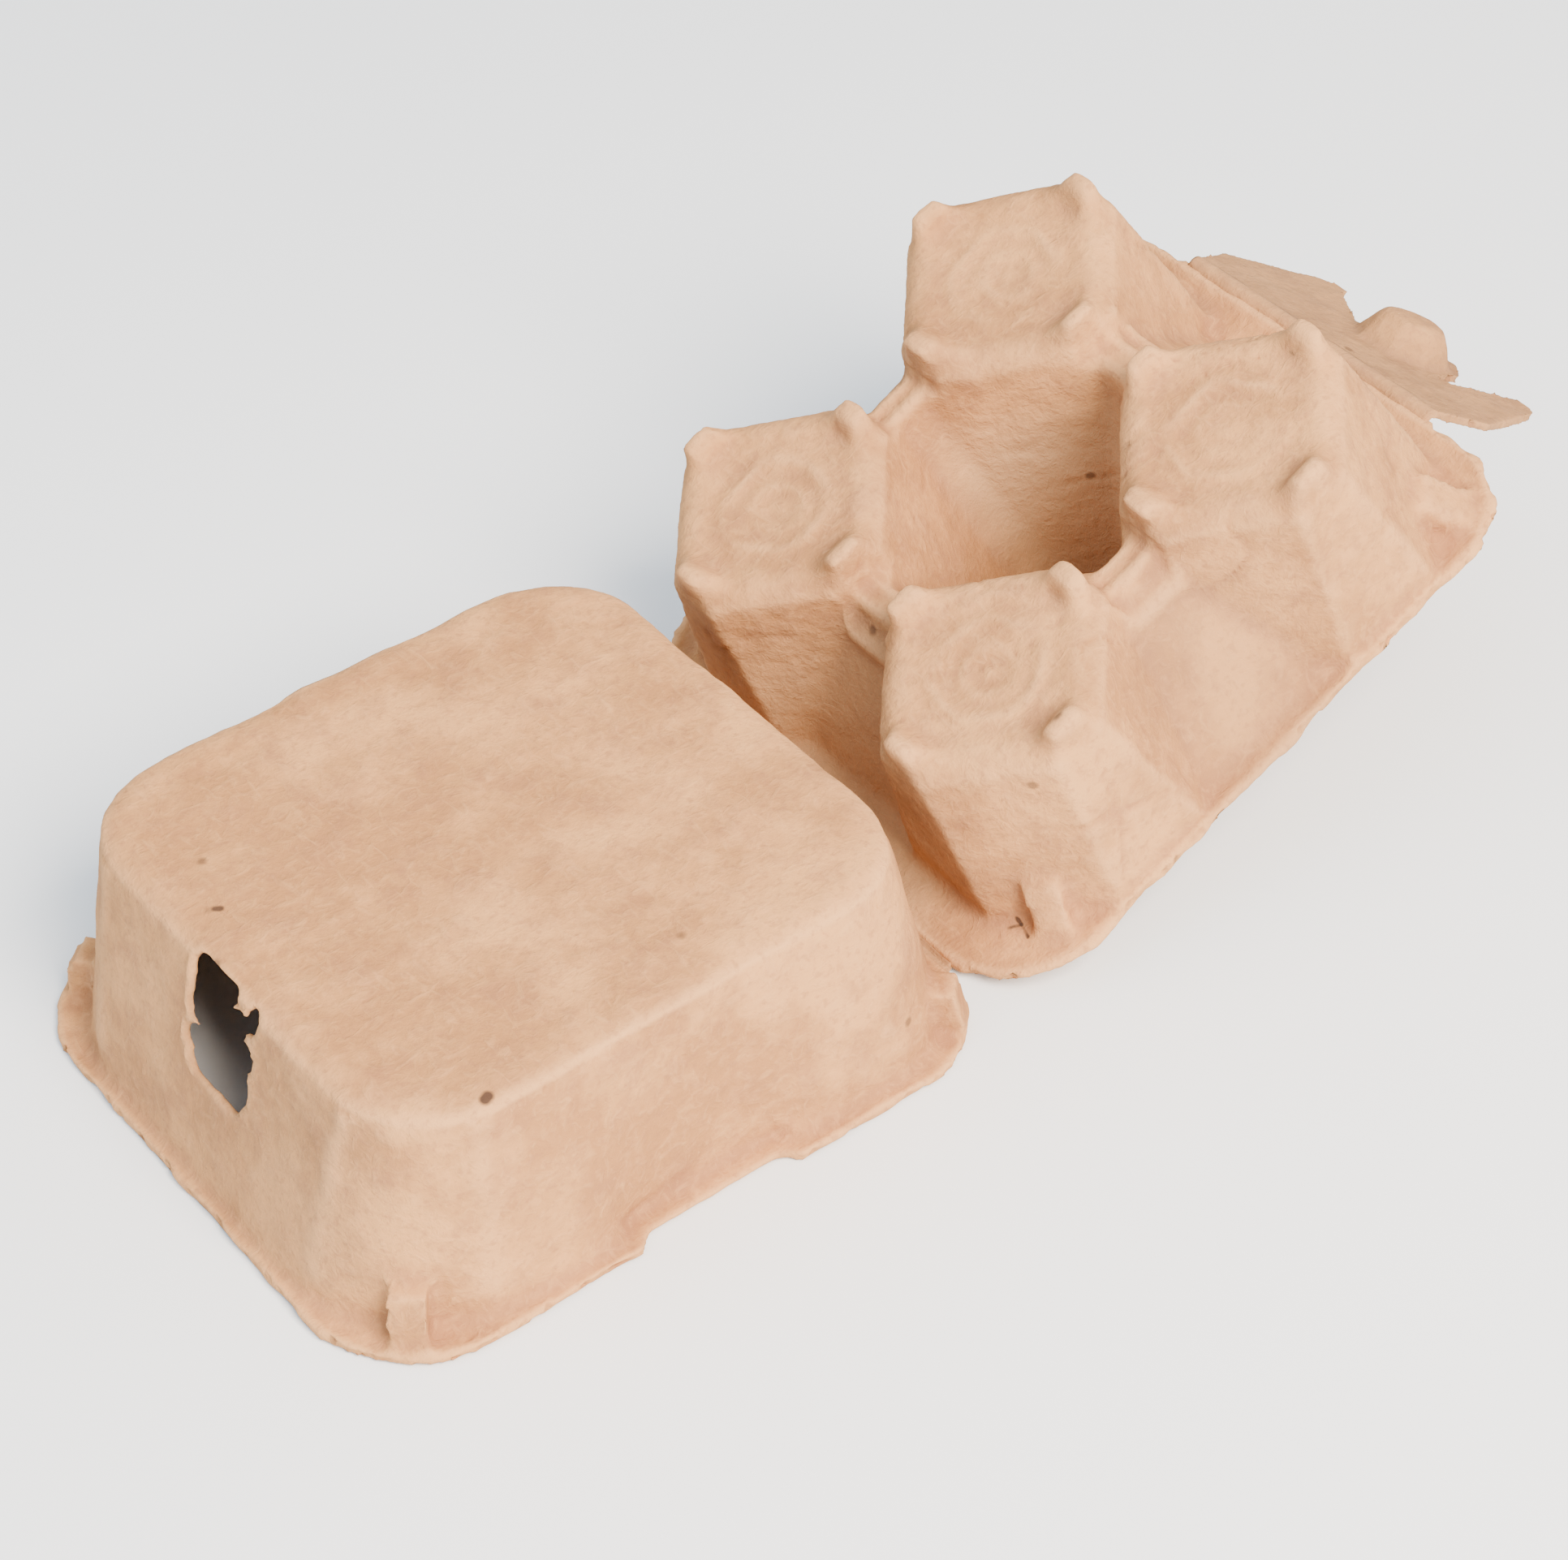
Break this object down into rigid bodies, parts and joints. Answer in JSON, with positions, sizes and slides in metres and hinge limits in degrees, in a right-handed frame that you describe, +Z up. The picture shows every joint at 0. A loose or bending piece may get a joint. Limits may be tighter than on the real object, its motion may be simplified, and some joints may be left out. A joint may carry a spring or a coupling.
{
  "type": "egg carton",
  "caption": "Open moulded-pulp egg carton lying outside up: a flat-topped lid with a latch hole, a cup tray with a middle post, and a lock flap.",
  "frame": {"origin": "middle of the open carton's footprint, on the surface it lies on", "axes": "+X from the lid to the cup tray and its lock flap, +Y along the fold, +Z up"},
  "size_m": [0.2418, 0.102, 0.0788],
  "materials": {
    "pulp": "matte"
  },
  "bodies": {
    "tray": {"tray": "pulp"},
    "lid": {"lid": "pulp"},
    "lock_flap": {"lock_flap": "pulp"}
  },
  "joints": [
    {"name": "lid_hinge", "type": "hinge", "parent": "tray", "child": "lid", "pos_m": [-0.00869, 0, -0.0002], "axis": [0, -1, 0], "range_deg": [-8, 206.2]},
    {"name": "flap_crease", "type": "hinge", "parent": "tray", "child": "lock_flap", "pos_m": [0.0924, 0, 0.04995], "axis": [0, 1, 0], "range_deg": [-55, 23]}
  ]
}
